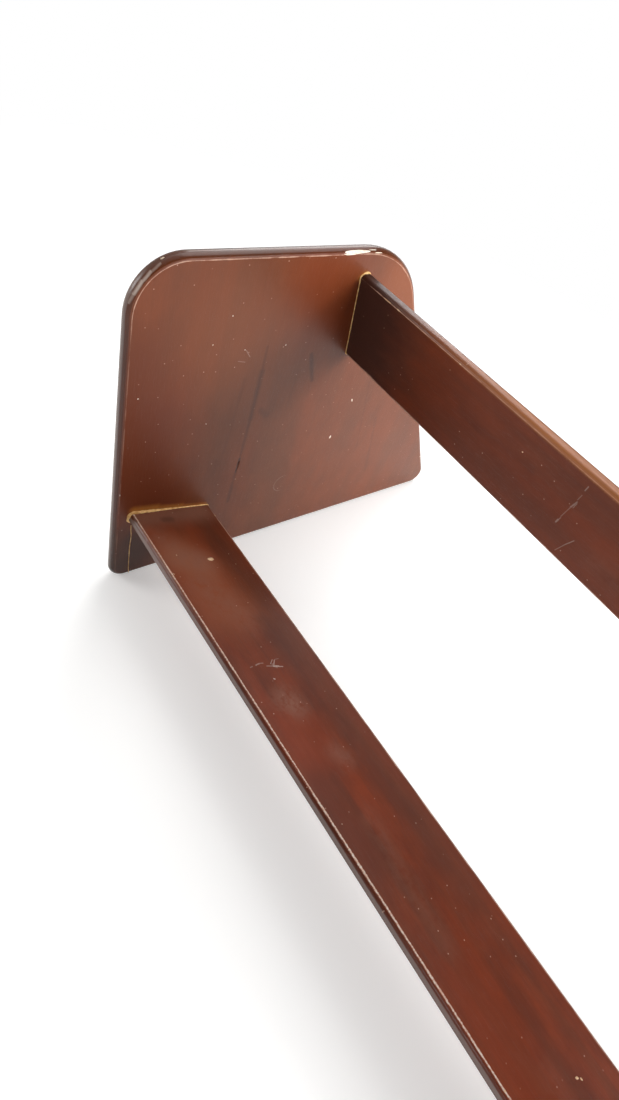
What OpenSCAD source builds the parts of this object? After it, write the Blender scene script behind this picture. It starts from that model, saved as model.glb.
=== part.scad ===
// Low wooden stand: two end panels joined by a sloped front slat and a leaning back rail.
// Millimetres, +Z up, +X from the left end to the right end, front towards -Y.
// The origin is on the floor, midway between the ends and midway along an end panel's depth.

/* [Stand] */
// Overall length, outside face to outside face of the end panels
stand_length = 600; // [480:5:900]

/* [End panels] */
// Depth of an end panel from its front edge to the tip of its back foot
panel_depth = 350; // [290:1:450]
// Height of an end panel
panel_height = 260; // [215:1:330]
// Thickness of an end panel
panel_thick = 9.5; // [9:0.1:19]
// Slope of the back edge, in degrees above the floor
back_slope = 59; // [50:0.5:80]
// Corner radius at the top front
front_corner_r = 35; // [10:1:60]
// Corner radius at the top back
back_corner_r = 72; // [20:1:90]
// Corner radius of both feet
foot_corner_r = 12; // [6:0.5:20]
// Roundover along every edge of an end panel
panel_roundover = 3; // [1:0.5:4]

/* [Front slat] */
// Width of the slat, front to back
slat_width = 69; // [50:1:90]
// Thickness of the slat
slat_thick = 8; // [7.5:0.1:18]
// Slope of the slat, in degrees down towards the back
slat_tilt = 12; // [0:0.5:25]
// Setback of the slat's top front edge behind the front of the panels
slat_setback = 12; // [6:0.5:40]
// Height of the slat's top front edge above the floor
slat_height = 71.5; // [50:0.5:90]
// Roundover along the slat's four long edges
slat_roundover = 2; // [0.5:0.25:3]

/* [Back rail] */
// Width of the rail, top to bottom
rail_width = 63; // [45:1:80]
// Thickness of the rail
rail_thick = 8; // [7.5:0.1:18]
// Lean of the rail, in degrees forward of upright at its top
rail_lean = 10; // [0:0.5:20]
// Setback of the rail's top front edge behind the front of the panels
rail_setback = 162; // [110:1:190]
// Drop from the top of the panels to the rail's top front edge
rail_drop = 17; // [12:0.5:40]
// Roundover along the rail's four long edges
rail_roundover = 2; // [0.5:0.25:3]

/* [Dowel joints] */
// Diameter of a dowel
dowel_d = 5; // [4:0.1:6]
// Distance from a board's long edge to the nearest dowel's centre
dowel_inset = 15; // [8:0.5:20]
// Depth of the blind hole in an end panel
panel_hole_depth = 6.5; // [4:0.1:7.5]
// Depth of the blind hole in the end of a slat or rail
board_hole_depth = 18; // [10:0.5:30]
// Clearance between a dowel and its hole, on the diameter
dowel_clearance = 0.1; // [0:0.02:0.3]
// Space left for glue beyond each end of a dowel
glue_space = 0.5; // [0.2:0.1:1.5]
// Chamfer at each end of a dowel
dowel_chamfer = 0.8; // [0.3:0.1:1.5]
// Number of glue flutes along a dowel
flute_count = 12; // [6:1:16]

/* [Hidden] */
$fn = 96;

SIDES = ["left", "right"];
JOINTS = ["slat", "rail"];
function dowel_name(side, joint, k) = str(JOINTS[joint], "_dowel_", SIDES[side], "_", k + 1);

wood_colour = "#6f3727";
dowel_colour = "#d8b98a";

inside_length = stand_length - 2 * panel_thick;
front_y = -panel_depth / 2;
flute_r = 0.3;

// An end panel is drawn in its own plane: x from the front edge back, y up from the floor.
// The back edge is the line whose points reach this far along the way that it faces.
back_facing = [sin(back_slope), cos(back_slope)];
back_foot = [panel_depth - foot_corner_r, foot_corner_r];
back_reach = back_foot * back_facing + foot_corner_r;
back_corner_y = panel_height - back_corner_r;
back_corner_x = (back_reach - back_corner_r - back_corner_y * back_facing[1]) / back_facing[0];

// Centre and radius of each rounded corner: top front, top back, back foot, front foot.
CORNERS = [
    [[front_corner_r, panel_height - front_corner_r], front_corner_r],
    [[back_corner_x, back_corner_y], back_corner_r],
    [back_foot, foot_corner_r],
    [[foot_corner_r, foot_corner_r], foot_corner_r],
];
corner_steps = 64;
roundover_steps = 24;

// Each board's section, seen along +X, sits at its top front edge.
// The dowels' centres are given in the same plane.
slat_dowels = [[dowel_inset, -slat_thick / 2], [slat_width - dowel_inset, -slat_thick / 2]];
rail_dowels = [[rail_thick / 2, -dowel_inset], [rail_thick / 2, dowel_inset - rail_width]];
DOWEL_SEATS = [slat_dowels, rail_dowels];

// Turns a shape drawn in the XY plane and extruded along Z so that it lies in the YZ plane.
module along_x() {
    rotate([90, 0, 90]) children();
}

// Moves a shape from a board's own frame to its place in the stand.
module place_board(joint) {
    edge = joint == 0
        ? [0, front_y + slat_setback, slat_height]
        : [0, front_y + rail_setback, panel_height - rail_drop];
    turn = joint == 0 ? -slat_tilt : rail_lean;
    translate(edge) rotate([turn, 0, 0]) children();
}

// Disc of the panel's thickness with both rims rounded over.
module rounded_disc(radius) {
    rotate_extrude($fn = corner_steps) {
        square([radius - panel_roundover, panel_thick]);
        translate([0, panel_roundover]) square([radius, panel_thick - 2 * panel_roundover]);
        for (rim = [panel_roundover, panel_thick - panel_roundover])
            translate([radius - panel_roundover, rim]) circle(panel_roundover, $fn = roundover_steps);
    }
}

module panel_blank() {
    hull()
        for (corner = CORNERS)
            translate(corner[0]) rounded_disc(corner[1]);
}

// Holes for every dowel at one end, each crossing the face where board and panel meet.
module dowel_holes(side) {
    for (joint = [0, 1], seat = DOWEL_SEATS[joint])
        place_board(joint) dowel_hole(side, seat);
}

module dowel_hole(side, seat) {
    mirror([side == 0 ? 1 : 0, 0, 0])
        translate([inside_length / 2 - board_hole_depth, seat[0], seat[1]])
            rotate([0, 90, 0])
                cylinder(d = dowel_d + dowel_clearance, h = board_hole_depth + panel_hole_depth);
}

module end_panel(side) {
    outside_x = side == 0 ? -stand_length / 2 : inside_length / 2;
    color(wood_colour)
        difference() {
            translate([outside_x, front_y, 0]) along_x() panel_blank();
            dowel_holes(side);
        }
}

module left_panel() {
    end_panel(0);
}

module right_panel() {
    end_panel(1);
}

// Section of a board with its four long edges rounded over, hanging below y = 0.
module board_section(across, down, roundover) {
    translate([roundover, -down]) square([across - 2 * roundover, down]);
    translate([0, roundover - down]) square([across, down - 2 * roundover]);
    for (x = [roundover, across - roundover], y = [-roundover, roundover - down])
        translate([x, y]) circle(roundover);
}

module board(joint, across, down, roundover) {
    color(wood_colour)
        difference() {
            place_board(joint)
                translate([-inside_length / 2, 0, 0])
                    along_x() linear_extrude(inside_length) board_section(across, down, roundover);
            dowel_holes(0);
            dowel_holes(1);
        }
}

module front_slat() {
    board(0, slat_width, slat_thick, slat_roundover);
}

module back_rail() {
    board(1, rail_thick, rail_width, rail_roundover);
}

// Fluted dowel pin along +Z, chamfered at both ends.
module dowel_pin(length) {
    over = dowel_d / 2 + flute_r;
    tip = dowel_d / 2 - dowel_chamfer;
    rise = over - tip;
    intersection() {
        linear_extrude(length)
            difference() {
                circle(d = dowel_d);
                for (i = [0:flute_count - 1])
                    rotate(360 * i / flute_count) translate([dowel_d / 2, 0]) circle(flute_r);
            }
        rotate_extrude()
            polygon([[0, 0], [tip, 0], [over, rise], [over, length - rise], [tip, length], [0, length]]);
    }
}

module joint_dowel(side, joint, k) {
    seat = DOWEL_SEATS[joint][k];
    color(dowel_colour)
        place_board(joint)
            mirror([side == 0 ? 1 : 0, 0, 0])
                translate([inside_length / 2 - board_hole_depth + glue_space, seat[0], seat[1]])
                    rotate([0, 90, 0])
                        dowel_pin(board_hole_depth + panel_hole_depth - 2 * glue_space);
}

left_panel();
right_panel();
front_slat();
back_rail();
for (joint = [0, 1], side = [0, 1], k = [0, 1])
    joint_dowel(side, joint, k);
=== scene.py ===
import random
from math import cos, radians, sin
from types import SimpleNamespace

import bmesh
import bpy
from mathutils import Euler, Matrix, Quaternion, Vector, noise
from mathutils.bvhtree import BVHTree
from mathutils.kdtree import KDTree


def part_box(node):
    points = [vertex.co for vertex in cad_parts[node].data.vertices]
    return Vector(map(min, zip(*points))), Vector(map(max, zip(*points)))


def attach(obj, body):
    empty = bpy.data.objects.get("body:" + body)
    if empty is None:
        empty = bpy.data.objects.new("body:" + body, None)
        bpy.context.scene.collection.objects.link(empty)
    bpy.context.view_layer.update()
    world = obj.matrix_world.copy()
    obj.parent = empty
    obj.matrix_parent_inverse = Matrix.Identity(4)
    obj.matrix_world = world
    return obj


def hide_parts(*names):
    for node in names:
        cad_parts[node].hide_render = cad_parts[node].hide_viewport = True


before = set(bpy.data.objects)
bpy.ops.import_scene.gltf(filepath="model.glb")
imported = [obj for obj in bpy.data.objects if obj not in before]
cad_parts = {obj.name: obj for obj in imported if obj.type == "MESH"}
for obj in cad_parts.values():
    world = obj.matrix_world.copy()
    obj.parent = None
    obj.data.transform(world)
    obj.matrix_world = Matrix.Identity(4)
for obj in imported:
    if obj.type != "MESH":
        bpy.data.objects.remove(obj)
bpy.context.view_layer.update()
mm = 0.001
print("frame loaded:", len(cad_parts), "CAD nodes")

photo = {"width": 619, "height": 1100}

# Where the stand's edges and marks show in the photograph, in its pixels.
imagePoints = {
    "leftmost": (107.6, 545.0),
    "topmost": (352.0, 243.2),
    "frontFoot": (110.3, 569.2),
    "backFoot": (421.4, 476.0),
    "slatFrontSide": (398.9, 946.9),
    "slatBackSide": (427.8, 806.6),
    "railTopSide": (516.9, 399.1),
    "railLowSide": (521.5, 525.5),
    "slatEndFront": (133.5, 513.5),
    "slatEndBack": (208.5, 504.5),
    "railEndTop": (361.5, 276.5),
    "railEndLow": (346.5, 353.5),
    "slatChip": (211.0, 559.0),
    "slatNick": (577.0, 1078.0),
    "slatScuff": (271.5, 664.0),
    "panelGouge": (238.0, 465.0),
    "panelRing": (282.0, 483.0),
    "topFlake": (358.0, 252.3),
    "cornerChip": (163.0, 257.5),
    "railScratch": (573.0, 505.0),
}

cameraSetup = {
    "place": (-0.00152, -0.31883, 0.41342),
    "aim": (-0.25339, -0.00142, 0.0),
    "roll": 22.04,
    "lens": 20.723,
    "sensor": 36.0,
}


def setCamera(setup):
    data = bpy.data.cameras.new("camera")
    data.sensor_fit = "AUTO"
    data.lens = setup["lens"]
    data.sensor_width = setup["sensor"]
    data.clip_start = 0.01
    data.clip_end = 200
    camera = bpy.data.objects.new("camera", data)
    place = Vector(setup["place"])
    turn = (Vector(setup["aim"]) - place).to_track_quat("-Z", "Y")
    turn = turn @ Quaternion((0, 0, 1), radians(setup["roll"]))
    camera.matrix_world = Matrix.Translation(place) @ turn.to_matrix().to_4x4()
    bpy.context.scene.collection.objects.link(camera)
    bpy.context.scene.camera = camera
    bpy.context.view_layer.update()
    return camera


camera = setCamera(cameraSetup)
longSide = max(photo["width"], photo["height"])
focal = longSide * camera.data.lens / camera.data.sensor_width
cameraView = camera.matrix_world.inverted()
print("camera set")


# The place on a piece that a point of the photograph falls on.
def placeOn(point, tree):
    across = point[0] - photo["width"] / 2 + camera.data.shift_x * longSide
    up = photo["height"] / 2 - point[1] + camera.data.shift_y * longSide
    start = camera.matrix_world.translation
    ray = (camera.matrix_world.to_3x3() @ Vector((across, up, -focal))).normalized()
    hit = tree.ray_cast(start, ray)[0]
    if hit is None:
        tries = [tree.find_nearest(start + ray * step * mm)[0] for step in range(100, 1500)]
        hit = min(tries, key=lambda found: (found - start).cross(ray).length)
    return hit


# Where a place on the stand shows in the photograph.
def showsAt(place):
    seen = cameraView @ Vector(place)
    x = photo["width"] / 2 - camera.data.shift_x * longSide - focal * seen.x / seen.z
    y = photo["height"] / 2 + camera.data.shift_y * longSide + focal * seen.y / seen.z
    return x, y


# Each board has its own frame, from its middle: u up or along its grain, v across it,
# and w through its thickness. It stands in its place after the turn about its middle.
endPanel = {
    "turn": (0, -90, 0),
    "frontTop": 35,
    "backTop": 72,
    "foot": 12,
    "slope": 59,
    "round": 4.7,
    "cornerSteps": 18,
}
frontSlat = {"turn": (-12, 0, 0), "width": 69, "thick": 8, "round": 3.0, "cuts": 48}
backRail = {"turn": (100, 0, 0), "width": 63, "thick": 8, "round": 3.0, "cuts": 48}
edgeFinish = {
    "crease": 19,       # degrees between a broad face and its roundover, where they meet
    "sharp": 24,        # degrees at which the shading breaks
    "broad": 5000,      # square millimetres, less than a broad face and more than any other
    "segments": 8,
    "soften": 0.2,
    "rim": 1.5,
    "wobble": 0.05,
}
dowelHole = {"diameter": 5.1, "inPanel": 6.5, "inBoard": 18, "sides": 40}


def boardFrame(node, turn):
    low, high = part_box(node)
    angles = Euler([radians(angle) for angle in turn])
    return Matrix.Translation((low + high) / 2) @ angles.to_matrix().to_4x4()


def facesOf(geometry):
    return [item for item in geometry if isinstance(item, bmesh.types.BMFace)]


def edgesOf(geometry):
    return [item for item in geometry if isinstance(item, bmesh.types.BMEdge)]


# Rounds the long edges of a thick blank, then takes both broad faces down to the board's
# thickness, so that each roundover meets its face in a crease.
def roundEdges(bm, edges, radius, thick):
    bmesh.ops.bevel(bm, geom=edges, offset=radius, offset_type="OFFSET", segments=edgeFinish["segments"],
                    profile=0.5, affect="EDGES", clamp_overlap=False, material=-1)
    for way in (-1, 1):
        whole = bm.verts[:] + bm.edges[:] + bm.faces[:]
        cut = bmesh.ops.bisect_plane(bm, geom=whole, dist=1e-6, plane_co=(0, 0, way * thick / 2),
                                     plane_no=(0, 0, way), clear_outer=True)
        bmesh.ops.holes_fill(bm, edges=edgesOf(cut["geom_cut"]), sides=0)
    bmesh.ops.recalc_face_normals(bm, faces=bm.faces[:])
    creases = []
    for edge in bm.edges:
        flat = [face for face in edge.link_faces if abs(face.normal.z) > 0.999]
        rising = [face for face in edge.link_faces if 0.5 < abs(face.normal.z) < 0.995]
        if len(flat) == 1 and len(rising) == 1:
            creases.append(edge)
    return creases


def creaseDepth(radius):
    return radius * (1 - cos(radians(edgeFinish["crease"])))


# Points along the creases, for measuring how far a place on the board is from one.
def creasePoints(creases, step=0.4):
    points = []
    for edge in creases:
        start, end = (vert.co.copy() for vert in edge.verts)
        count = max(1, round((end - start).length / step))
        points += [start.lerp(end, number / count) for number in range(count)]
    return points


# Softens the creases and adds a narrow rim inside each broad face, which carries the wear.
def softenCreases(bm, creases):
    bmesh.ops.bevel(bm, geom=creases, offset=edgeFinish["soften"], offset_type="OFFSET", segments=2,
                    profile=0.5, affect="EDGES", clamp_overlap=False, material=-1)
    flat = [face for face in bm.faces if abs(face.normal.z) > 0.999]
    broad = [face for face in flat if face.calc_area() > edgeFinish["broad"]]
    bmesh.ops.inset_individual(bm, faces=broad, thickness=edgeFinish["rim"])


# The corners of an end panel as centre, radius, first angle and sweep, from the front foot round.
def panelCorners(height, depth, shape):
    lean = 90 - shape["slope"]
    facing = Vector((cos(radians(lean)), sin(radians(lean))))
    foot = Vector((depth / 2 - shape["foot"], shape["foot"] - height / 2))
    reach = foot.dot(facing) + shape["foot"]
    topU = height / 2 - shape["backTop"]
    topV = (reach - shape["backTop"] - topU * facing[1]) / facing[0]
    frontTop = Vector((shape["frontTop"] - depth / 2, height / 2 - shape["frontTop"]))
    return [
        (Vector((shape["foot"] - depth / 2, shape["foot"] - height / 2)), shape["foot"], 180, 90),
        (foot, shape["foot"], 270, 90 + lean),
        (Vector((topV, topU)), shape["backTop"], lean, 90 - lean),
        (frontTop, shape["frontTop"], 90, 90),
    ]


# A panel's outline, each corner spun from its first point, joined into one face.
def panelOutline(bm, corners, level):
    ends = []
    for centre, radius, start, sweep in corners:
        middle = Vector((centre[1], centre[0], level))
        first = bm.verts.new(middle + radius * Vector((sin(radians(start)), cos(radians(start)), 0)))
        steps = round(endPanel["cornerSteps"] * sweep / 90)
        turned = bmesh.ops.spin(bm, geom=[first], cent=middle, axis=(0, 0, -1), dvec=(0, 0, 0),
                                angle=radians(sweep), steps=steps)
        last = [item for item in turned["geom_last"] if isinstance(item, bmesh.types.BMVert)][0]
        ends.append((first, last))
    for number, (first, last) in enumerate(ends):
        bm.edges.new((last, ends[(number + 1) % len(ends)][0]))
    made = bmesh.ops.contextual_create(bm, geom=bm.edges[:])
    return made["faces"][0]


def panelBlank(node):
    low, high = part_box(node)
    depth, height, thick = [(high[axis] - low[axis]) / mm for axis in (1, 2, 0)]
    half = thick / 2 + creaseDepth(endPanel["round"])
    bm = bmesh.new()
    face = panelOutline(bm, panelCorners(height, depth, endPanel), -half)
    raised = bmesh.ops.extrude_face_region(bm, geom=[face])
    top = facesOf(raised["geom"])[0]
    bmesh.ops.translate(bm, verts=top.verts[:], vec=(0, 0, 2 * half))
    bmesh.ops.recalc_face_normals(bm, faces=bm.faces[:])
    creases = roundEdges(bm, [*face.edges, *top.edges], endPanel["round"], thick)
    wear = sorted(creasePoints(creases), key=tuple)     # as the extruded faces have no fixed order
    softenCreases(bm, creases)
    return bm, wear


def boardBlank(node, shape):
    low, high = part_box(node)
    length = (high.x - low.x) / mm
    thick = shape["thick"] + 2 * creaseDepth(shape["round"])
    bm = bmesh.new()
    bmesh.ops.create_cube(bm, size=1)
    bmesh.ops.scale(bm, verts=bm.verts[:], vec=(length, shape["width"], thick))
    along = [edge for edge in bm.edges if abs(edge.verts[0].co.x - edge.verts[1].co.x) > 1]
    creases = roundEdges(bm, along, shape["round"], shape["thick"])
    wear = creasePoints(creases)
    softenCreases(bm, creases)
    along = [edge for edge in bm.edges if abs(edge.verts[0].co.x - edge.verts[1].co.x) > length / 2]
    bmesh.ops.subdivide_edges(bm, edges=along, cuts=shape["cuts"], use_grid_fill=True)
    return bm, wear


# Hand sanding: the broad faces and roundovers dip by a few hundredths of a millimetre.
def sandByHand(bm, seed):
    bm.normal_update()
    for vert in bm.verts:
        dip = 0.5 + 0.5 * noise.noise(vert.co * 0.021 + Vector((seed, 0, 0)))
        inward = Vector((0, vert.normal.y, vert.normal.z)) if abs(vert.normal.x) > 0.9 else vert.normal
        vert.co -= inward * edgeFinish["wobble"] * dip


def meshOf(bm, name):
    mesh = bpy.data.meshes.new(name)
    bm.to_mesh(mesh)
    bm.free()
    return mesh


def addPiece(name, mesh):
    piece = bpy.data.objects.new(name, mesh)
    bpy.context.scene.collection.objects.link(piece)
    return piece


boardShapes = {
    "left_panel": endPanel,
    "right_panel": endPanel,
    "front_slat": frontSlat,
    "back_rail": backRail,
}
blanks = {}
wearPoints = {}
frames = {}
trees = {}
for number, (node, shape) in enumerate(boardShapes.items()):
    isPanel = shape is endPanel
    blank, wearPoints[node] = panelBlank(node) if isPanel else boardBlank(node, shape)
    sandByHand(blank, number * 7.3)
    frames[node] = boardFrame(node, shape["turn"]) @ Matrix.Scale(mm, 4)
    blank.transform(frames[node])
    trees[node] = BVHTree.FromBMesh(blank)
    blank.transform(frames[node].inverted())
    blanks[node] = blank
print("boards shaped")


# A node graph is written as expressions: a Wire is one output, and maths on wires adds nodes.
class Wire:
    def __init__(self, graph, socket):
        self.graph = graph
        self.socket = socket

    def __getitem__(self, name):
        return Wire(self.graph, self.socket.node.outputs[name])

    def __add__(self, other):
        return self.graph.maths("ADD", self, other)

    __radd__ = __add__

    def __sub__(self, other):
        return self.graph.maths("SUBTRACT", self, other)

    def __rsub__(self, other):
        return self.graph.maths("SUBTRACT", other, self)

    def __mul__(self, other):
        return self.graph.maths("MULTIPLY", self, other)

    __rmul__ = __mul__


class Graph:
    def __init__(self, tree):
        self.tree = tree
        tree.nodes.clear()

    # Adds a node: its settings come first, then a value or a wire for each socket.
    def node(self, kind, settings=None, sockets=None, output=0):
        made = self.tree.nodes.new(kind)
        for name, value in (settings or {}).items():
            setattr(made, name, value)
        for key, value in (sockets or {}).items():
            if isinstance(value, Wire):
                self.tree.links.new(value.socket, made.inputs[key])
            else:
                made.inputs[key].default_value = value
        return Wire(self, made.outputs[output] if made.outputs else None)

    def maths(self, operation, *values, clamp=False):
        settings = {"operation": operation, "use_clamp": clamp}
        return self.node("ShaderNodeMath", settings, dict(enumerate(values)))

    # Rises smoothly from 0 at one value to 1 at the other, which may be the lower one.
    def rise(self, value, start, end):
        return self.node("ShaderNodeMapRange", {"interpolation_type": "SMOOTHSTEP"},
                         {"Value": value, "From Min": start, "From Max": end})

    def most(self, *values):
        top = values[0]
        for value in values[1:]:
            top = self.maths("MAXIMUM", top, value)
        return top

    def blend(self, factor, first, second):
        return self.node("ShaderNodeMix", {"data_type": "RGBA"}, {0: factor, 6: first, 7: second}, output=2)

    def vector(self, operation, *values, output=0):
        return self.node("ShaderNodeVectorMath", {"operation": operation}, dict(enumerate(values)), output)

    def scale(self, vector, by):
        return self.node("ShaderNodeVectorMath", {"operation": "SCALE"}, {0: vector, "Scale": by})

    def bump(self, height):
        return self.node("ShaderNodeBump", {}, {"Strength": 1.0, "Distance": mm, "Height": height})

    # The material's shader and its output.
    def finish(self, sockets):
        shader = self.node("ShaderNodeBsdfPrincipled", {}, sockets)
        self.node("ShaderNodeOutputMaterial", {}, {"Surface": shader})

    # Noise over a place that is first stretched, and moved so that no two patterns are alike.
    def noise(self, place, stretch, offset, detail=2.0, rough=0.5):
        moved = self.vector("MULTIPLY_ADD", place, stretch, (offset, offset * 1.7, offset * 0.6))
        return self.node("ShaderNodeTexNoise", {}, {"Vector": moved, "Scale": 1.0, "Detail": detail,
                                                    "Roughness": rough, "Distortion": 0.0})

    # The object's coordinates in millimetres, turned about a middle.
    def millimetres(self, turn=(0, 0, 0), middle=(0, 0, 0)):
        place = self.node("ShaderNodeTexCoord", output="Object")
        return self.node("ShaderNodeMapping", {"vector_type": "TEXTURE"},
                         {"Vector": place, "Location": middle, "Rotation": turn, "Scale": (mm, mm, mm)})

    # How far a place is from a line between two points, all three on one flat face.
    def fromLine(self, flat, start, end):
        along = Vector((end[0] - start[0], end[1] - start[1], 0))
        away = self.vector("SUBTRACT", flat, (start[0], start[1], 0))
        if along.length < 0.01:
            return self.vector("LENGTH", away, output="Value")
        share = self.vector("DOT_PRODUCT", away, along / along.length_squared, output="Value")
        share = self.maths("MULTIPLY", share, 1, clamp=True)
        foot = self.scale(tuple(along), share)
        return self.vector("LENGTH", self.vector("SUBTRACT", away, foot), output="Value")


# What wear the photograph shows, with some painted light, shade and highlight, in a board's own millimetres
# as u, v, on the face that looks along w as "face" says. A mark is its first and last point, its half width
# and its strength;
# a tint has its linear colour first. What is placed is measured from the image point it names.
marks = {
    "left_panel": {
        "face": -1,
        "dark": [
            ((67, -75.6), (48, -75.1), 1.0, 0.34), ((48, -75.1), (7, -75.3), 1.9, 0.55),
            ((7, -75.3), (-30, -76.2), 1.1, 0.50), ((-30, -76.2), (-44, -77.0), 1.2, 1.0),
            ((-44, -77.0), (-76, -77.8), 2.2, 0.60), ((56, -35.6), (33, -27.2), 1.4, 0.55),
            ((44, -88), (-20, -92), 1.2, 0.16), ((14, -68), (8, -62), 2.4, 0.30),
            ((-21, 62.3), (-87, 78.5), 1.3, 0.20), ((20, 36), (-50, 52), 0.8, 0.14),
            # These two broad marks are painted shade, low on the front of the panel and at its front foot
            # below the slat.
            ((-50, -84), (-84, -78), 20.0, 0.26), ((-112, -162), (-92, -158), 16.0, 0.80),
        ],
        "tints": [
            # The first two tints are painted light, behind the rail and high on the face; the next two are
            # painted shade along the front edge.
            ((0.27, 0.072, 0.022, 1), (112, 34), (92, 62), 26, 0.85),
            ((0.195, 0.036, 0.0075, 1), (112, -44), (82, -28), 24, 0.75),
            ((0.143, 0.026, 0.0065, 1), (24, -156), (-50, -150), 28, 0.85),
            ((0.125, 0.026, 0.0075, 1), (66, -166), (-20, -164), 22, 0.70),
            ((0.210, 0.060, 0.0200, 1), (80, -110), (60, -96), 30, 0.50),
        ],
        "pale": [((66.4, -92), (61.0, -88), 0.22, 0.30), ((58.8, -96.5), (57.4, -91), 0.25, 0.25)],
        # A painted highlight along the roundover of the top front corner.
        "smooth": [
            ((104.0, -173.4), (110.5, -170.4), 0.45, 0.25), ((109.0, -171.1), (116.0, -166.8), 0.55, 0.50),
            ((115.0, -167.5), (121.0, -162.2), 0.45, 0.42), ((120.0, -163.2), (125.0, -157.0), 0.35, 0.20),
        ],
        "ring": {"at": "panelRing", "radius": 8.5, "half": 0.5, "strength": 0.16},
    },
    "right_panel": {
        "face": 1,
        "dark": [((70, 20), (-60, 26), 1.0, 0.35), ((-20, -60), (-31, -61), 0.8, 0.7)],
        "pale": [((96, -120), (84, -112), 0.35, 0.4), ((-60, 100), (-66, 112), 0.3, 0.4)],
    },
    "front_slat": {
        "face": 1,
        "tints": [
            ((0.275, 0.074, 0.0300, 1), (-252, -16), (-196, -10), 20, 0.75),
            ((0.300, 0.115, 0.0650, 1), (-244, -20), (-236, -6), 11, 0.60),
            ((0.240, 0.100, 0.0620, 1), (-284, -30), (-283, 24), 10, 0.80),
            ((0.105, 0.026, 0.0100, 1), (-262, 22), (-160, 24), 12, 0.50),
            ((0.120, 0.027, 0.0090, 1), (-150, 18), (20, 22), 13, 0.50),
            ((0.240, 0.034, 0.0060, 1), (-100, -18), (-74, -16), 13, 0.60),
            ((0.112, 0.022, 0.0075, 1), (-60, -24), (-14, -26), 12, 0.65),
            ((0.230, 0.033, 0.0060, 1), (60, -14), (130, -20), 18, 0.45),
        ],
        "dark": [
            ((-280, -12), (-280, -7), 2.6, 0.38), ((-250, 18), (-190, 22), 7.0, 0.22),
            ((-175, 12), (-105, 8), 6.0, 0.26), ((-90, 14), (10, 16), 6.0, 0.24),
            ((-60, -14), (-38, -13), 3.0, 0.20), ((60, 2), (170, 8), 6.0, 0.20),
        ],
        "pale": [((-131.8, -9.9), (-131.4, -9.4), 0.40, 0.8)],
        "placed": {
            "slatScuff": [
                ((0.2, -4.2), (1.8, 0.3), 0.26, 0.45), ((1.8, 0.3), (3.1, 4.0), 0.42, 0.85),
                ((3.4, 4.0), (4.3, 6.6), 0.36, 0.55), ((-2.9, -11.2), (-3.2, -8.1), 0.42, 0.35),
                ((-3.1, -7.4), (-2.6, -5.4), 0.30, 0.30), ((-0.3, -0.6), (-2.8, 2.6), 0.26, 0.45),
                ((0.9, 1.4), (-1.9, 3.8), 0.34, 0.50), ((-2.4, 4.2), (-2.0, 7.4), 0.20, 0.25),
                ((-2.6, -15.8), (-2.8, -14.2), 0.36, 0.22), ((0.6, 0.6), (3.2, 2.2), 0.9, 0.20),
            ],
        },
        "dull": [
            ((-116, -11), (-110, -8), 8.0, 0.95), ((-73, -2), (-67, 1), 6.0, 0.50),
            ((-285, -28), (-284, 20), 5.0, 0.80), ((-242, -19), (-236, -8), 10.0, 0.62),
            ((-265, -26), (-258, -20), 9.0, 0.50), ((-215, -14), (-180, 0), 12.0, 0.45),
            ((-30, -8), (40, -14), 7.0, 0.22), ((110, -4), (190, -10), 8.0, 0.20),
        ],
    },
    "back_rail": {
        "face": 1,
        "dark": [((-180, 4), (-120, 6), 3.0, 0.2), ((30, -12), (90, -10), 3.0, 0.25)],
        "pale": [((60, -10), (66, 8), 0.25, 0.25)],
        "placed": {
            "railScratch": [
                ((-2.6, -17.4), (-2.2, -15.0), 0.5, 0.30), ((-2.2, -15.6), (-1.6, -12.6), 0.3, 0.24),
                ((-2.0, -12.0), (-0.2, -1.4), 0.26, 0.18), ((-0.4, -2.0), (0.4, 1.0), 0.45, 0.26),
                ((0.2, 0.4), (0.9, 3.4), 0.35, 0.24), ((0.9, -1.6), (1.4, 2.6), 0.26, 0.20),
                ((0.4, 4.6), (1.0, 9.0), 0.26, 0.16), ((0.8, 12.6), (1.2, 16.0), 0.32, 0.26),
                ((6.5, -33.8), (9.4, -25.0), 0.24, 0.24), ((9.4, -25.0), (12.1, -18.5), 0.26, 0.30),
            ],
        },
        "dull": [((-250, -10), (-230, 10), 12.0, 0.12), ((-60, -12), (40, 6), 9.0, 0.18)],
    },
}

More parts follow.
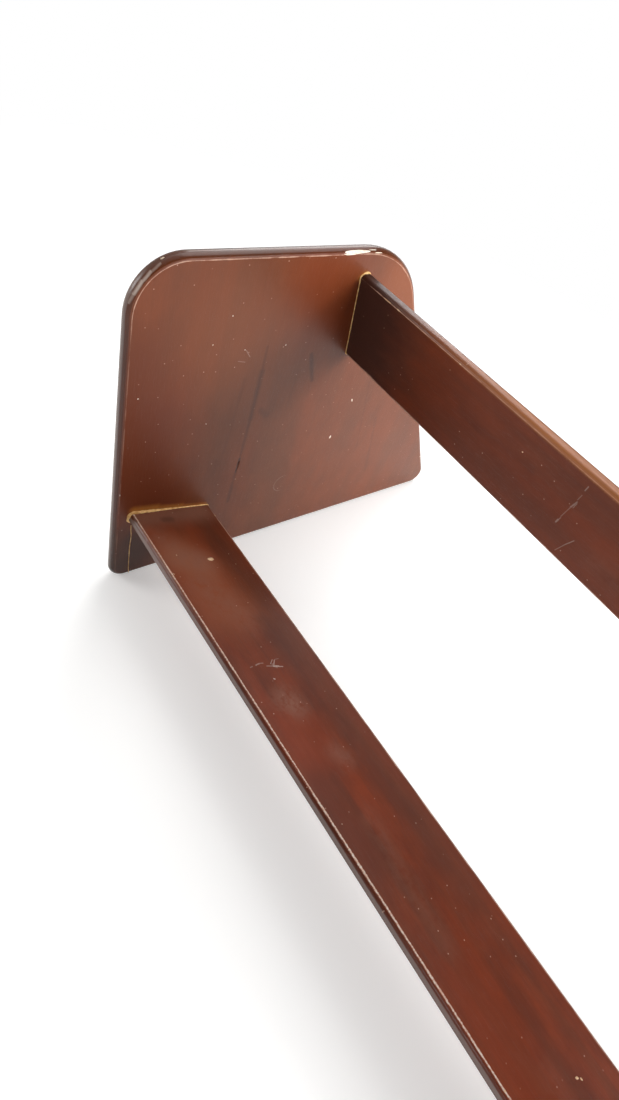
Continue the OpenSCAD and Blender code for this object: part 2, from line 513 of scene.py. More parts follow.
# Chips and dents that are cut into the wood: an image point or a place as u, v, w, what way the
# place faces, the half length, half width and depth, the turn from the grain, and whether bare
# wood shows.
chips = {
    "left_panel": [
        ("panelGouge", "face", (6.0, 0.95, 0.60), 4, False),
        ("topFlake", "top", (10.5, 1.5, 0.45), 90, True),
        ((126.9, -28.0, -4.4), "top", (5.0, 0.8, 0.35), 88, True),
        ((128.6, -3.0, -3.4), "top", (9.0, 0.35, 0.22), 91, True),
        ((126.9, 0.0, -4.3), "top", (10.0, 0.35, 0.20), 93, True),
        ("cornerChip", "corner", (2.0, 0.6, 0.30), 40, True),
        ((5.6, 23.4, -4.75), "face", (1.7, 0.7, 0.30), -30, True),
        ((-30.6, 13.7, -4.75), "face", (1.6, 1.0, 0.30), 0, True),
        ((-128.0, 69.1, -4.2), "bottom", (1.6, 0.6, 0.35), 90, True),
        ((11.3, -112.3, -4.75), "face", (0.5, 0.38, 0.2), 0, True),
        ((73.4, -117.8, -4.75), "face", (0.5, 0.38, 0.2), 0, True),
        ((66.8, -93.1, -4.75), "face", (0.5, 0.38, 0.2), 0, True),
        ((66.4, -60.6, -4.75), "face", (0.55, 0.42, 0.2), 0, True),
        ((91.8, -107.3, -4.75), "face", (0.5, 0.38, 0.2), 0, True),
        ((42.0, -164.4, -4.75), "face", (0.5, 0.38, 0.2), 0, True),
    ],
    "right_panel": [
        ((20.0, -90.0, 4.75), "face", (4.2, 0.7, 0.3), 4, False),
        ((-50.0, 44.0, 4.75), "face", (0.8, 0.6, 0.25), 20, True),
        ((64.0, 10.0, 4.75), "face", (0.6, 0.4, 0.2), 0, True),
        ((-92.0, -40.0, 4.75), "face", (0.7, 0.5, 0.2), 70, True),
    ],
    "front_slat": [
        ("slatChip", "face", (2.8, 1.5, 0.60), 80, True),
        ("slatNick", "face", (1.0, 0.7, 0.40), 60, True),
        ((119.6, 9.4, 4.0), "face", (0.8, 0.6, 0.35), 20, True),
        ((-245.0, -20.4, 4.0), "face", (0.5, 0.4, 0.2), 0, True),
        ((-229.2, -31.1, 4.0), "face", (0.7, 0.45, 0.25), 10, True),
        ((205.0, -12.0, 4.0), "face", (1.1, 0.6, 0.3), 15, True),
    ],
    "back_rail": [
        ((-261.2, 29.4, 3.95), "edge", (4.2, 0.45, 0.3), 0, True),
        ((-250.4, 29.4, 3.95), "edge", (1.9, 0.5, 0.3), 0, True),
        ((-130.0, 12.0, 4.0), "face", (0.6, 0.4, 0.2), 30, True),
        ((140.0, -6.0, 4.0), "face", (0.9, 0.5, 0.25), 10, True),
    ],
}
edgeChips = {"perBoard": 14, "long": (0.5, 1.5), "wide": (0.25, 0.5), "deep": (0.18, 0.32), "bare": 0.7}


# Adds a lump that cuts a chip: an uneven ball, drawn out along the grain and sunk to its depth.
def addLump(bm, place, facing, size, turn, bare, seed):
    made = bmesh.ops.create_icosphere(bm, subdivisions=3, radius=1)["verts"]
    for vert in made:
        vert.co *= 1 + 0.35 * noise.noise(vert.co * 1.5 + Vector((seed, 3.1, 0)))
    out = Vector(facing).normalized()
    along = Vector((cos(radians(turn)), sin(radians(turn)), 0))
    along = (along - along.dot(out) * out).normalized()
    axes = Matrix((along, out.cross(along), out)).transposed().to_4x4()
    tall = size[2] * 1.6
    middle = Vector(place) + out * (tall - size[2])
    stretch = Matrix.Diagonal((size[0], size[1], tall, 1))
    bmesh.ops.transform(bm, matrix=Matrix.Translation(middle) @ axes @ stretch, verts=made)
    for face in {face for vert in made for face in vert.link_faces}:
        face.material_index = 1 if bare else 0


# The way that a place on a board faces, from its name and the side that the board shows.
def chipFacing(way, side):
    return {
        "face": (0, 0, side),
        "edge": (0, 0.6, 0.8 * side),
        "top": (0.8, 0, 0.6 * side),
        "bottom": (-0.8, 0, 0.6 * side),
        "corner": (0.55, -0.55, 0.6 * side),
    }[way]


def chipCutters(node, bm, draws):
    isPanel = boardShapes[node] is endPanel
    for number, (where, way, size, turn, bare) in enumerate(chips[node]):
        if isinstance(where, str):
            where = frames[node].inverted() @ placeOn(imagePoints[where], trees[node])
        addLump(bm, where, chipFacing(way, marks[node]["face"]), size, turn, bare, number * 1.9)
    for number in range(edgeChips["perBoard"]):
        place = draws.choice(wearPoints[node])
        out = Vector((place.x if isPanel else 0, place.y, 0)).normalized()
        facing = out * 0.6 + Vector((0, 0, 0.8 if place.z > 0 else -0.8))
        turn = 90 if isPanel and abs(place.x) * 1.35 > abs(place.y) else 0
        size = [draws.uniform(*edgeChips[way]) for way in ("long", "wide", "deep")]
        addLump(bm, place, facing, size, turn, draws.random() < edgeChips["bare"], 20 + number * 2.3)


# Adds the blind holes of the dowels that reach into a board, from where the dowels lie.
def holeCutters(node, bm):
    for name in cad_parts:
        if "_dowel_" not in name:
            continue
        low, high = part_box(name)
        side = -1 if "left" in name else 1
        if "panel" in node:
            if ("left" in node) != (side < 0):
                continue
        elif name.split("_")[0] not in node:
            continue
        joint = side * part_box("front_slat")[1].x
        start = joint - side * dowelHole["inBoard"] * mm
        end = joint + side * dowelHole["inPanel"] * mm
        centre = Vector(((start + end) / 2, (low.y + high.y) / 2, (low.z + high.z) / 2))
        radius = dowelHole["diameter"] / 2
        made = bmesh.ops.create_cone(bm, cap_ends=True, segments=dowelHole["sides"], radius1=radius,
                                     radius2=radius, depth=abs(end - start) / mm)["verts"]
        turn = Euler((0, radians(90), 0)).to_matrix().to_4x4()
        place = frames[node].inverted() @ Matrix.Translation(centre) @ Matrix.Scale(mm, 4) @ turn
        bmesh.ops.transform(bm, matrix=place, verts=made)
        for face in {face for vert in made for face in vert.link_faces}:
            face.material_index = 1


def carve(piece, cutters):
    tool = addPiece("cutter", meshOf(cutters, "cutter"))
    for material in piece.data.materials:
        tool.data.materials.append(material)
    cut = piece.modifiers.new("cut", "BOOLEAN")
    cut.operation = "DIFFERENCE"
    cut.solver = "EXACT"
    cut.use_self = True
    cut.object = tool
    bpy.context.view_layer.update()
    done = bpy.data.meshes.new_from_object(piece.evaluated_get(bpy.context.evaluated_depsgraph_get()))
    piece.modifiers.clear()
    old = piece.data
    piece.data = done
    done.name = piece.name
    bpy.data.meshes.remove(old)
    bpy.data.objects.remove(tool)


# Smooths the shading except where two faces meet sharply, and notes on each point of the mesh
# how far it is from the nearest crease, in millimetres.
def finishSurface(piece, creases):
    bm = bmesh.new()
    bm.from_mesh(piece.data)
    for face in bm.faces:
        face.smooth = True
    sharp = radians(edgeFinish["sharp"])
    for edge in bm.edges:
        edge.smooth = len(edge.link_faces) == 2 and edge.calc_face_angle(0) < sharp
    bm.to_mesh(piece.data)
    bm.free()
    tree = KDTree(len(creases))
    for number, point in enumerate(creases):
        tree.insert(point, number)
    tree.balance()
    wear = piece.data.attributes.new("fromCrease", "FLOAT", "POINT")
    for vert in piece.data.vertices:
        wear.data[vert.index].value = min(tree.find(vert.co)[2], 4)
    weighted = piece.modifiers.new("shading", "WEIGHTED_NORMAL")
    weighted.keep_sharp = True


# Stained and varnished wood. The colours are linear: dark is the stain in the deepest grain and also paints
# shade, the grey paints a sheen, the crease colour is wear and a painted highlight both, pale is wear and
# also paints a highlight on a corner, and the others show where use has changed it. The gloss is rough on
# broad faces, polished on edges.
woodStain = {
    "dark": (0.045, 0.013, 0.007, 1),
    # Wear along the creases, and a painted highlight there too.
    "worn": (0.60, 0.37, 0.27, 1),
    "pale": (0.68, 0.58, 0.50, 1),
    "dull": (0.250, 0.100, 0.062, 1),
    # A painted grey sheen along the middle of the edges, where they would reflect the pale room.
    "rubbed": (0.230, 0.178, 0.155, 1),
    "railTop": (0.42, 0.155, 0.055, 1),
    "soaked": (0.42, 0.150, 0.028, 1),
    "rough": 0.38,
    "polished": 0.22,
    "fibre": 0.030,     # height in millimetres, as for peel and dent
    "peel": 0.012,
    "dent": 0.03,
}
panelLook = {
    "red": (0.178, 0.043, 0.0125, 1), "brown": (0.148, 0.042, 0.0150, 1),
    "figure": 0.30, "mottle": 0.22, "rub": 0.50, "edge": 0.52, "arris": 1.0,
}
boardLooks = {
    "left_panel": {**panelLook, "seed": 11.3, "bands": 0.030},
    "right_panel": {**panelLook, "seed": 47.9, "bands": 0.034},
    "front_slat": {
        "red": (0.205, 0.032, 0.0065, 1), "brown": (0.155, 0.032, 0.0095, 1), "seed": 83.1,
        "bands": 0.085, "figure": 0.60, "mottle": 0.42, "rub": 0.48, "edge": 0.50, "arris": 1.7,
        "frontWear": 0.34,
    },
    "back_rail": {
        "red": (0.178, 0.032, 0.0085, 1), "brown": (0.146, 0.031, 0.0105, 1), "seed": 29.7,
        "bands": 0.070, "figure": 0.45, "mottle": 0.24, "edge": 0.8, "arris": 2.2,
        # shaded: painted shade darkening the rail from u -208 to its left end at the panel.
        "topWear": 0.80, "shaded": (-208, -268),
    },
}

# Noise in stained wood: whether it lies on the board's place or runs with the grain, its
# stretch for each millimetre along u, v and w, its offset, its detail and its roughness.
woodPatterns = {
    "streaks": ("grain", (0.007, 0.42, 0.42), 9, 3.0, 0.6),
    "fibres": ("grain", (0.03, 2.3, 2.3), 14, 2.0, 0.6),
    "pores": ("grain", (0.11, 3.6, 3.6), 21, 1.0, 0.4),
    "mottle": ("grain", (0.035, 0.075, 0.075), 33, 4.0, 0.62),
    "grit": ("grain", (0.5, 1.1, 1.1), 35, 2.0, 0.6),
    "blotch": ("place", (0.013, 0.022, 0.022), 31, 3.0, 0.55),
    "peel": ("place", (0.34, 0.5, 0.5), 37, 1.0, 0.4),
    "ragged": ("place", (0.9, 0.9, 0.9), 43, 2.0, 0.6),
    "cloud": ("place", (0.13, 0.13, 0.13), 47, 4.0, 0.65),
    "broken": ("place", (0.05, 0.08, 0.08), 53, 3.0, 0.65),
    "nibble": ("place", (0.7, 0.7, 0.7), 59, 2.0, 0.6),
}


def newGraph(name):
    material = bpy.data.materials.new(name)
    material.use_nodes = True
    return material, Graph(material.node_tree)


# A board's own millimetres, as its mesh was drawn.
def boardPlace(graph, node):
    turn = [radians(angle) for angle in boardShapes[node]["turn"]]
    return graph.millimetres(turn, frames[node].translation)


# What everything on a board's surface is worked out from: its place as u, v and w, how much it
# lies on a broad face and on the face that shows, and the patterns.
def woodSurface(graph, node):
    look = boardLooks[node]
    place = boardPlace(graph, node)
    split = graph.node("ShaderNodeSeparateXYZ", {}, {"Vector": place})
    u, v, w = split["X"], split["Y"], split["Z"]
    wood = SimpleNamespace(look=look, marks=marks[node], node=node, place=place, u=u, v=v, w=w)
    wood.isPanel = boardShapes[node] is endPanel
    wood.flat = graph.node("ShaderNodeCombineXYZ", {}, {"X": u, "Y": v, "Z": 0.0})
    wood.half = max(vert.co.z for vert in blanks[node].verts)
    wood.depth = graph.maths("ABSOLUTE", w)
    wood.broad = graph.rise(wood.depth, wood.half - 0.9, wood.half - 0.1)
    wood.facing = graph.rise(w * wood.marks["face"], 0.5, 1.5)
    wander = graph.noise(place, (0.0045, 0.012, 0.012), look["seed"], 1.0)
    lane = v + (wander - 0.5) * 10      # the fibres wander a little across the board
    wood.grain = graph.node("ShaderNodeCombineXYZ", {}, {"X": u, "Y": lane, "Z": w})
    widths = (0.0022, look["bands"], look["bands"])
    wood.bands = graph.noise(wood.grain, widths, look["seed"] + 5, 2.0, 0.45)
    for name, (over, stretch, offset, detail, rough) in woodPatterns.items():
        setattr(wood, name, graph.noise(getattr(wood, over), stretch, look["seed"] + offset, detail, rough))
    wood.pores = graph.rise(wood.pores, 0.60, 0.74)
    return wood


# How strongly the marks of one kind show at a place, with ragged edges.
def markMask(graph, wood, lines, ragged, soft):
    masks = []
    for start, end, half, strength in lines:
        away = graph.fromLine(wood.flat, start, end) + ragged * half
        masks.append(graph.rise(away, half * (1 + soft), half * (1 - soft)) * strength)
    return graph.most(*masks)


# The marks that are measured from an image point, as marks on the board.
def placedMarks(wood):
    lines = []
    for name, strokes in wood.marks.get("placed", {}).items():
        middle = (frames[wood.node].inverted() @ placeOn(imagePoints[name], trees[wood.node])).to_2d()
        for start, end, half, strength in strokes:
            lines.append((middle + Vector(start), middle + Vector(end), half, strength))
    return lines


# Where glue has soaked into the bare wood beside a joint: the board, the first and last point as
# v and w on its end, the half width and the strength.
glueSoaks = [
    ("front_slat", (-32, 6.2), (-14, 6.6), 3.0, 1.0),
    ("front_slat", (-14, 6.2), (8, 5.6), 2.2, 0.85),
    ("front_slat", (8, 5.6), (30, 5.0), 1.6, 0.55),
    ("back_rail", (31.8, 1.0), (29.0, 5.0), 1.6, 0.40),
]


def soakedMarks(node):
    lines = []
    for board, start, end, half, strength in glueSoaks:
        places = [frames[node].inverted() @ frames[board] @ Vector((0, *point)) for point in (start, end)]
        lines.append((places[0].to_2d(), places[1].to_2d(), half, strength))
    return lines


# The stain over soft and hard grain, with deeper fibres and pores, uneven in depth and hue.
def grainStain(graph, wood):
    look = wood.look
    soft = graph.rise(wood.bands * 0.7 + wood.blotch * 0.3, 0.38, 0.62)
    stain = graph.blend(soft, look["brown"], look["red"])
    deep = graph.rise(wood.streaks, 0.52, 0.28) * 0.26 + graph.rise(wood.fibres, 0.55, 0.30) * 0.18
    deep = (deep + wood.pores * 0.18) * look["figure"]
    stain = graph.blend(deep, stain, woodStain["dark"])
    level = 0.94 + (wood.mottle - 0.5) * (2 * look["mottle"])
    level = level + (wood.blotch - 0.5) * 0.30 + (wood.grit - 0.5) * 0.14
    stain = graph.scale(stain, level)
    # On the left panel some tints are painted light and shade.
    for tint, *mark in wood.marks.get("tints", []):
        tinted = markMask(graph, wood, [mark], wood.blotch * 1.6 - 0.8, 0.95)
        stain = graph.blend(tinted, stain, tint)
    return stain


# The edges took more stain, and a painted grey sheen lies along the middle of some of them.
def edgeStain(graph, wood, stain):
    look = wood.look
    stain = graph.scale(stain, look["edge"] + wood.broad * (1 - look["edge"]))
    if "rub" not in look:
        return stain
    rub = graph.rise(wood.depth + (wood.mottle - 0.5) * 1.2, wood.half * 0.52, wood.half * 0.30)
    rub = rub * (0.55 + wood.mottle * 0.9) * look["rub"]
    if wood.isPanel:
        rub = rub * (1 - 0.75 * graph.rise(wood.u, 100, 124))
    return graph.blend(rub, stain, woodStain["rubbed"])


# Dull patches, a faint ring, dark streaks and broad painted shade, on the face that shows.
def markedStain(graph, wood, stain):
    kind = wood.marks
    wood.dull = 0.0
    if "dull" in kind:
        dull = markMask(graph, wood, kind["dull"], wood.cloud * 3.0 - 1.5, 0.98) * wood.facing
        wood.dull = dull * graph.rise(wood.cloud, 0.30, 0.62)
        stain = graph.blend(wood.dull, stain, woodStain["dull"])
    if "ring" in kind:
        ring = kind["ring"]
        centre = frames[wood.node].inverted() @ placeOn(imagePoints[ring["at"]], trees[wood.node])
        away = graph.maths("ABSOLUTE", graph.fromLine(wood.flat, centre, centre) - ring["radius"])
        shown = graph.rise(away + wood.ragged * ring["half"], ring["half"] * 1.6, ring["half"] * 0.4)
        shown = shown * graph.rise(wood.v, centre.y + 5, centre.y - 5)
        stain = graph.blend(shown * wood.facing * ring["strength"], stain, woodStain["pale"])
    wood.dark = markMask(graph, wood, kind["dark"], wood.mottle * 1.8 - 0.9, 0.85) * wood.facing
    return graph.blend(wood.dark, stain, woodStain["dark"])


# Painted shade at the rail's end by the left panel, the glue soaked in beside a panel's joints, and
# a painted highlight along the roundover of the left panel's top front corner.
def placedStain(graph, wood, stain):
    wood.shade = 0.0
    if "shaded" in wood.look:
        wood.shade = graph.rise(wood.u + (wood.mottle - 0.5) * 24, *wood.look["shaded"])
        stain = graph.blend(wood.shade * 0.90, stain, woodStain["dark"])
    if wood.isPanel:
        soaked = markMask(graph, wood, soakedMarks(wood.node), wood.ragged * 0.8 - 0.4, 0.95)
        stain = graph.blend(soaked * wood.facing * (0.5 + wood.ragged), stain, woodStain["soaked"])
    # The smooth marks are a painted highlight on the corner's roundover.
    if "smooth" in wood.marks:
        cornerHighlight = markMask(graph, wood, wood.marks["smooth"], wood.ragged * 0.4 - 0.2, 0.85)
        cornerHighlight = cornerHighlight * graph.rise(wood.w * wood.marks["face"], 1.6, 2.4)
        stain = graph.blend(cornerHighlight, stain, woodStain["pale"])
    return stain


# A broken pale line along the creases is rubbed-through stain and a painted highlight both, and the rail's
# top is rubbed all along.
def wearAndHighlightStain(graph, wood, stain):
    look = wood.look
    crease = graph.node("ShaderNodeAttribute", {"attribute_name": "fromCrease"}, output="Fac")
    front = graph.rise(wood.v, -20, -30)
    reach = 0.12 + 0.06 * look["arris"] + graph.rise(wood.broken, 0.36, 0.70) * 0.42
    if "frontWear" in look:
        reach = reach + front * (wood.nibble * 3.2 - 0.8) * look["frontWear"]
    wood.worn = graph.rise(crease + wood.nibble * 0.24 - 0.12, reach, reach * 0.30)
    shown = (0.30 + wood.broken * 0.7) * look["arris"]
    if wood.isPanel:
        shown = shown * (0.35 + 0.65 * graph.rise(wood.u, 78, 104))
    stain = graph.blend(wood.worn * graph.maths("MINIMUM", shown, 1.0), stain, woodStain["worn"])
    if "frontWear" in look:
        bare = wood.worn * front * graph.rise(wood.nibble, 0.44, 0.60)
        stain = graph.blend(bare, stain, woodStain["pale"])
    if "topWear" in look:
        top = graph.rise(wood.v + (wood.ragged - 0.5) * 1.4, 27.6, 29.8)
        top = top * graph.rise(wood.u, -285, -120) * graph.rise(wood.w, -3.4, -0.4)
        stain = graph.blend(top * (0.4 + wood.streaks) * look["topWear"], stain, woodStain["railTop"])
    return stain


# Pale scratches, and small specks where the varnish is nicked.
def scratchedStain(graph, wood, stain):
    pale = markMask(graph, wood, wood.marks["pale"] + placedMarks(wood), wood.ragged * 2.0 - 1.0, 0.60)
    wood.pale = pale * wood.facing * (0.4 + wood.ragged)
    stain = graph.blend(wood.pale, stain, woodStain["pale"])
    seed = wood.look["seed"]
    spread = graph.vector("MULTIPLY_ADD", wood.flat, (0.085, 0.085, 0), (seed, seed, 0))
    cells = graph.node("ShaderNodeTexVoronoi", {"voronoi_dimensions": "2D", "feature": "F1"},
                       {"Vector": spread, "Scale": 1.0})
    chance = graph.node("ShaderNodeSeparateXYZ", {}, {"Vector": cells["Color"]})
    specks = graph.rise(cells["Distance"], 0.042, 0.018) * graph.rise(chance["X"], 0.64, 0.70) * wood.facing
    return graph.blend(specks * (0.2 + chance["Y"] * 0.6), stain, woodStain["worn"])


def varnishRoughness(graph, wood):
    rough = woodStain["polished"] + wood.broad * (woodStain["rough"] - woodStain["polished"])
    rough = rough + (wood.blotch - 0.5) * 0.10 + (wood.peel - 0.5) * 0.05 + wood.shade * 0.2
    return graph.maths("ADD", rough, wood.pale * 0.30 + wood.worn * 0.15 + wood.dull * 0.25, clamp=True)


def stainedWood(node):
    material, graph = newGraph("stained-wood-" + node.replace("_", "-"))
    wood = woodSurface(graph, node)
    stain = grainStain(graph, wood)
    for layer in (edgeStain, markedStain, placedStain, wearAndHighlightStain, scratchedStain):
        stain = layer(graph, wood, stain)
    height = wood.fibres * woodStain["fibre"] - wood.pores * woodStain["fibre"]
    height = height + wood.peel * woodStain["peel"] - wood.dark * woodStain["dent"]
    graph.finish({"Base Color": stain, "Roughness": varnishRoughness(graph, wood),
                  "Normal": graph.bump(height), "IOR": 1.41})
    return material


# Pale wood without stain, as dowels and fresh chips show it: linear colours, and the turn that
# lays the fibres along a board.
bareWood = {
    "bare-wood-along": {"light": (0.86, 0.66, 0.44, 1), "dark": (0.66, 0.40, 0.20, 1), "turn": (0, 0, 0)},
    "bare-wood-up": {"light": (0.95, 0.89, 0.80, 1), "dark": (0.80, 0.66, 0.50, 1), "turn": (0, -90, 0)},
    "dowel-wood": {"light": (0.72, 0.52, 0.30, 1), "dark": (0.58, 0.38, 0.19, 1), "turn": (0, 0, 0)},
}


def plainWood(name):
    look = bareWood[name]
    material, graph = newGraph(name)
    place = graph.millimetres([radians(angle) for angle in look["turn"]])
    fibres = graph.noise(place, (0.08, 1.8, 1.8), 3.0, 3.0, 0.6)
    spots = graph.noise(place, (0.9, 0.9, 0.9), 8.0, 2.0, 0.5)
    colour = graph.blend(graph.rise(fibres * 0.7 + spots * 0.3, 0.32, 0.66), look["dark"], look["light"])
    graph.finish({"Base Color": colour, "Roughness": 0.62 + spots * 0.1,
                  "Normal": graph.bump(fibres * 0.05)})
    return material


bareAlong = plainWood("bare-wood-along")
bareUp = plainWood("bare-wood-up")
dowelWood = plainWood("dowel-wood")
pieces = {}
draws = random.Random(418)
for node, blank in blanks.items():
    piece = addPiece(node.replace("_", "-") + "-wood", meshOf(blank.copy(), node))
    piece.data.materials.append(stainedWood(node))
    piece.data.materials.append(bareUp if "panel" in node else bareAlong)
    cutters = bmesh.new()
    chipCutters(node, cutters, draws)
    carve(piece, cutters)
    cutters = bmesh.new()
    holeCutters(node, cutters)
    carve(piece, cutters)
    finishSurface(piece, wearPoints[node])
    piece.data.transform(frames[node])
    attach(piece, "root")
    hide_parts(node)
    pieces[node] = piece
    print(node, "finished:", len(piece.data.polygons), "faces")
for name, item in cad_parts.items():
    if "_dowel_" in name:
        item.data.materials.clear()
        item.data.materials.append(dowelWood)


# Squeezed out glue stands in an uneven bead where a board meets a panel.
# Each bead's radius is in millimetres; the thick part fades with distance from its corner.
glueBeads = {
    "front_slat": {"thin": 0.50, "thick": 1.55, "corner": (-34.5, 3.0), "fade": 26},
    "back_rail": {"thin": 0.42, "thick": 0.90, "corner": (31.5, 0.0), "fade": 5},
}
glueRun = {
    "points": ((-72.0, -161.3), (-90, -160.7), (-110, -161.1), (-129.6, -160.2)),
    "face": -4.75,
    "radius": 0.3,
    "parts": 16,
}
glueLook = {"light": (0.95, 0.62, 0.25, 1), "dark": (0.62, 0.30, 0.08, 1), "rough": 0.30, "grit": 0.12}


def glueMaterial():
    material, graph = newGraph("dried-glue")
    place = graph.millimetres()
    patches = graph.noise(place, (0.22, 0.22, 0.22), 2.0, 3.0, 0.6)
    grit = graph.noise(place, (1.6, 1.6, 1.6), 5.0, 2.0, 0.5)
    clear = graph.rise(patches * 0.75 + grit * 0.25, 0.36, 0.60)
    colour = graph.blend(clear, glueLook["dark"], glueLook["light"])
    graph.finish({"Base Color": colour, "Roughness": glueLook["rough"] + grit * 0.15,
                  "Normal": graph.bump(grit * glueLook["grit"])})
    return material


dryGlue = glueMaterial()


def glueTube(name, points, radii, closed):
    curve = bpy.data.curves.new(name, "CURVE")
    curve.dimensions = "3D"
    curve.bevel_depth = mm
    curve.bevel_resolution = 2
    curve.use_fill_caps = True
    spline = curve.splines.new("POLY")
    spline.points.add(len(points) - 1)
    for item, point, radius in zip(spline.points, points, radii):
        item.co = (*point, 1)
        item.radius = radius
    spline.use_cyclic_u = closed
    line = bpy.data.objects.new(name, curve)
    piece = addPiece(name, bpy.data.meshes.new_from_object(line))
    bpy.data.objects.remove(line)
    for polygon in piece.data.polygons:
        polygon.use_smooth = True
    piece.data.materials.append(dryGlue)
    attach(piece, "root")
    return piece


def sectionLoop(blank, end, step=0.7):
    cap = max(blank.faces, key=lambda face: face.calc_center_median().x * end)
    corners = [loop.vert.co.copy() for loop in cap.loops]
    points = []
    for number, corner in enumerate(corners):
        after = corners[(number + 1) % len(corners)]
        count = max(1, round((after - corner).length / step))
        points += [corner.lerp(after, part / count) for part in range(count)]
    return points


# A bead's radius at a point of a board's end, thickest at its corner.
def beadRadius(bead, point, end):
    away = (Vector((point.y, point.z)) - Vector(bead["corner"])).length
    lumps = 1 + 0.45 * noise.noise(point * 0.5 + Vector((end * 9, 0, 0)))
    return (bead["thin"] + (bead["thick"] - bead["thin"]) / (1 + (away / bead["fade"]) ** 3)) * lumps


def layBeads(node, bead):
    for end, side in ((-1, "left"), (1, "right")):
        points = sectionLoop(blanks[node], end)
        radii = [beadRadius(bead, point, end) for point in points]
        name = node.split("_")[1] + "-glue-" + side
        glueTube(name, [frames[node] @ point for point in points], radii, True)


# The thin run of glue wanders down the panel's inner face.
def layRun(run, node):
    points = []
    radii = []
    for start, end in zip(run["points"], run["points"][1:]):
        for part in range(run["parts"]):
            point = Vector((*start, run["face"])).lerp(Vector((*end, run["face"])), part / run["parts"])
            sway = 0.5 * noise.noise(point * 0.12)
            points.append(frames[node] @ (point + Vector((0, sway, 0))))
            radii.append(run["radius"] * (1 + 0.6 * noise.noise(point * 0.6)))
    glueTube("glue-run", points, radii, False)


for node, bead in glueBeads.items():
    layBeads(node, bead)
layRun(glueRun, "left_panel")
print("glue laid")

# The floor reaches this far from the middle, in metres. Light lifts it a little, and it fades to
# plain white between near and far.
floorSetup = {"half": 60, "paint": (0.82, 0.82, 0.81, 1), "lift": 0.34, "near": 0.34, "far": 0.95}


# The camera and clear reflections see the floor lifted to white, with the stand's shadow kept.
def paleFloor():
    material, graph = newGraph("pale-floor")
    place = graph.node("ShaderNodeTexCoord", output="Object")
    away = graph.vector("LENGTH", graph.vector("MULTIPLY", place, (0.75, 1.0, 0)), output="Value")
    ray = graph.node("ShaderNodeLightPath")
    seen = graph.most(ray["Is Camera Ray"], ray["Is Glossy Ray"], ray["Is Transmission Ray"])
    plain = graph.node("ShaderNodeBsdfDiffuse", {}, {"Color": floorSetup["paint"]})
    lift = seen * floorSetup["lift"]
    glow = graph.node("ShaderNodeEmission", {}, {"Color": (1, 1, 1, 1), "Strength": lift})
    lifted = graph.node("ShaderNodeAddShader", {}, {0: plain, 1: glow})
    white = graph.node("ShaderNodeEmission", {}, {"Color": (1, 1, 1, 1), "Strength": 1.0})
    share = graph.rise(away, floorSetup["near"], floorSetup["far"]) * seen
    shader = graph.node("ShaderNodeMixShader", {}, {0: share, 1: lifted, 2: white})
    graph.node("ShaderNodeOutputMaterial", {}, {"Surface": shader})
    return material


bm = bmesh.new()
bmesh.ops.create_grid(bm, x_segments=1, y_segments=1, size=floorSetup["half"])
floor = addPiece("floor", meshOf(bm, "floor"))
floor.data.materials.append(paleFloor())

# The room is dim, but brighter to the left and overhead. The camera sees it white, and clear
# reflections see it pale low down.
room = {
    "base": 0.05,
    "top": 0.85,
    "overhead": (0.80, 0.93),
    "side": 0.33,
    "towards": (-0.94, -0.18, 0.28),
    "spread": (0.05, 0.85),
    "pale": (0.24, 0.08),
}


def roomLight(room):
    world = bpy.data.worlds.new("room")
    bpy.context.scene.world = world
    world.use_nodes = True
    graph = Graph(world.node_tree)
    way = graph.node("ShaderNodeTexCoord", output="Generated")
    up = graph.node("ShaderNodeSeparateXYZ", {}, {"Vector": way})["Z"]
    facing = graph.vector("DOT_PRODUCT", way, Vector(room["towards"]).normalized(), output="Value")
    strength = (room["base"] + graph.rise(facing, *room["spread"]) * room["side"]
                + graph.rise(up, *room["overhead"]) * room["top"])
    ray = graph.node("ShaderNodeLightPath")
    clear = graph.most(ray["Is Glossy Ray"], ray["Is Transmission Ray"])
    white = graph.most(graph.rise(up, *room["pale"]) * clear, ray["Is Camera Ray"])
    strength = strength + white * (1 - strength)
    sky = graph.node("ShaderNodeBackground", {}, {"Color": (1, 1, 1, 1), "Strength": strength})
    graph.node("ShaderNodeOutputWorld", {}, {"Surface": sky})


roomLight(room)

# Each lamp hangs this way from the middle of the stand: degrees round from +X, degrees up, metres.
lamps = {
    "softbox": {"way": (108, 61, 2.2), "size": (1.7, 1.4), "power": 24},
    "window": {"way": (11, 12, 1.7), "size": (0.6, 0.6), "power": 34},
    "pane": {"way": (41, 31, 1.7), "size": (0.25, 0.35), "power": 5},
    "leftBack": {"way": (140, 32, 1.7), "size": (0.8, 0.6), "power": 9},
    "frontLeft": {"way": (225, 18, 1.7), "size": (0.6, 0.6), "power": 9},
    "frontStrip": {"way": (287, 25, 1.7), "size": (0.2, 0.5), "power": 2},
}
lampAim = Vector((-0.10, 0, 0.12))


def addLamp(name, setup):
    data = bpy.data.lights.new(name, "AREA")
    data.shape = "RECTANGLE"
    data.size, data.size_y = setup["size"]
    data.energy = setup["power"]
    lamp = bpy.data.objects.new(name, data)
    swing, up, away = setup["way"]
    back = Euler((0, radians(-up), radians(swing))).to_matrix() @ Vector((away, 0, 0))
    turn = back.to_track_quat("Z", "Y")
    lamp.matrix_world = Matrix.Translation(lampAim + back) @ turn.to_matrix().to_4x4()
    lamp.visible_camera = False
    bpy.context.scene.collection.objects.link(lamp)


for name, setup in lamps.items():
    addLamp(name, setup)
bpy.context.scene.view_settings.view_transform = "Standard"
print("room lit")

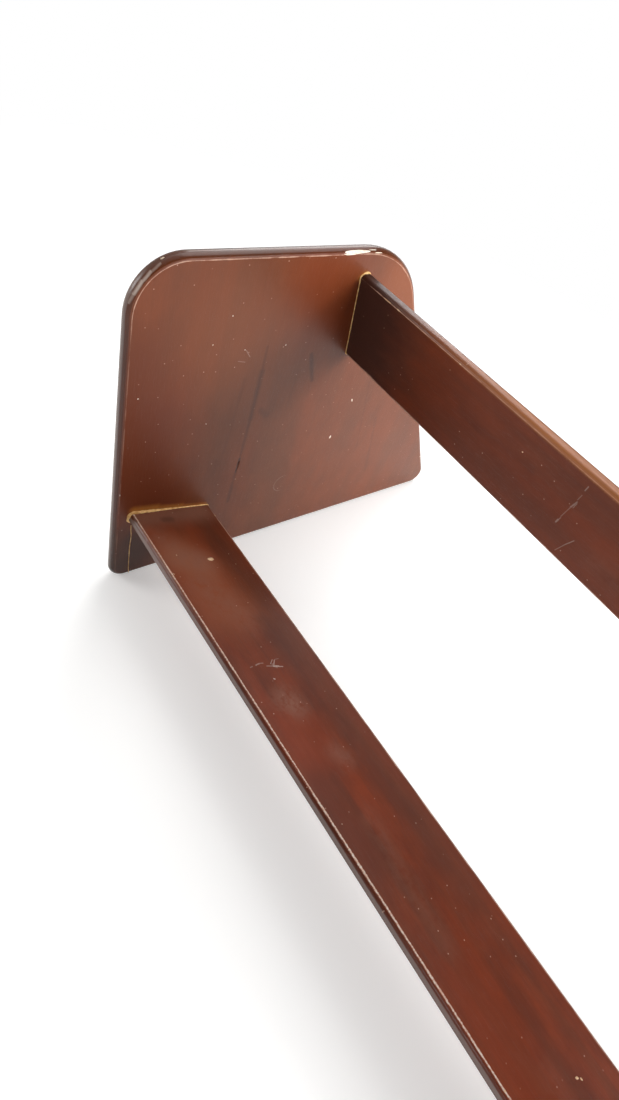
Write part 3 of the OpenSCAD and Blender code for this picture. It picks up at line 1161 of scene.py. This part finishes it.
# The edges that have an image point: the board, and the way that its edge faces in the photograph.
shownEdges = {
    "leftmost": ("left_panel", (-1, 0)),
    "topmost": ("left_panel", (0, -1)),
    "frontFoot": ("left_panel", (-0.6, 0.8)),
    "backFoot": ("left_panel", (0.8, 0.6)),
    "slatFrontSide": ("front_slat", (-0.8, 0.6)),
    "slatBackSide": ("front_slat", (0.8, -0.6)),
    "railTopSide": ("back_rail", (0.6, -0.8)),
    "railLowSide": ("back_rail", (-0.6, 0.8)),
}

# The corners of a board at its left end, as v and w.
shownCorners = {
    "slatEndFront": ("front_slat", -34.5, 4),
    "slatEndBack": ("front_slat", 34.5, 4),
    "railEndTop": ("back_rail", 31.5, 4),
    "railEndLow": ("back_rail", -31.5, 4),
}
shownMarks = {"slatScuff": "front_slat", "panelRing": "left_panel", "railScratch": "back_rail"}
shownVerts = {node: [Vector(showsAt(vert.co)) for vert in pieces[node].data.vertices]
              for node in {node for node, way in shownEdges.values()}}


# The furthest place that a finished board shows along a way, on the line through its point.
def edgeShows(point, node, way):
    middle = Vector(point)
    way = Vector(way).normalized()
    side = Vector((-way.y, way.x))
    seen = shownVerts[node]
    reach = []
    for edge in pieces[node].data.edges:
        one, two = (seen[number] - middle for number in edge.vertices)
        first, last = one.dot(side), two.dot(side)
        if first * last <= 0 and first != last and max(one.length, two.length) < longSide:
            reach.append(one.lerp(two, first / (first - last)).dot(way))
    return middle + way * max(reach)


# The middle of a chip: the finished vertices near its place that lie below the uncut board.
def chipShows(name, node, half):
    place = placeOn(imagePoints[name], trees[node])
    near = [vert.co for vert in pieces[node].data.vertices if (vert.co - place).length < 1.6 * half * mm]
    cut = [co for co in near if trees[node].find_nearest(co)[3] > 0.03 * mm]
    seen = [Vector(showsAt(co)) for co in cut]
    low = Vector((min(item.x for item in seen), min(item.y for item in seen)))
    high = Vector((max(item.x for item in seen), max(item.y for item in seen)))
    return (low + high) / 2


shows = {}
for name, (node, way) in shownEdges.items():
    shows[name] = edgeShows(imagePoints[name], node, way)
for name, (node, v, w) in shownCorners.items():
    end = min(vert.co.x for vert in blanks[node].verts)
    corner = frames[node] @ Vector((end, v, w))
    nearest = min(pieces[node].data.vertices, key=lambda vert: (vert.co - corner).length)
    shows[name] = Vector(showsAt(nearest.co))
for name, node in shownMarks.items():
    shows[name] = Vector(showsAt(placeOn(imagePoints[name], trees[node])))
for node, cuts in chips.items():
    for cut in cuts:
        if isinstance(cut[0], str):
            shows[cut[0]] = chipShows(cut[0], node, cut[2][0])
for name, point in imagePoints.items():
    [round(value, 2) for value in shows[name] - Vector(point)]
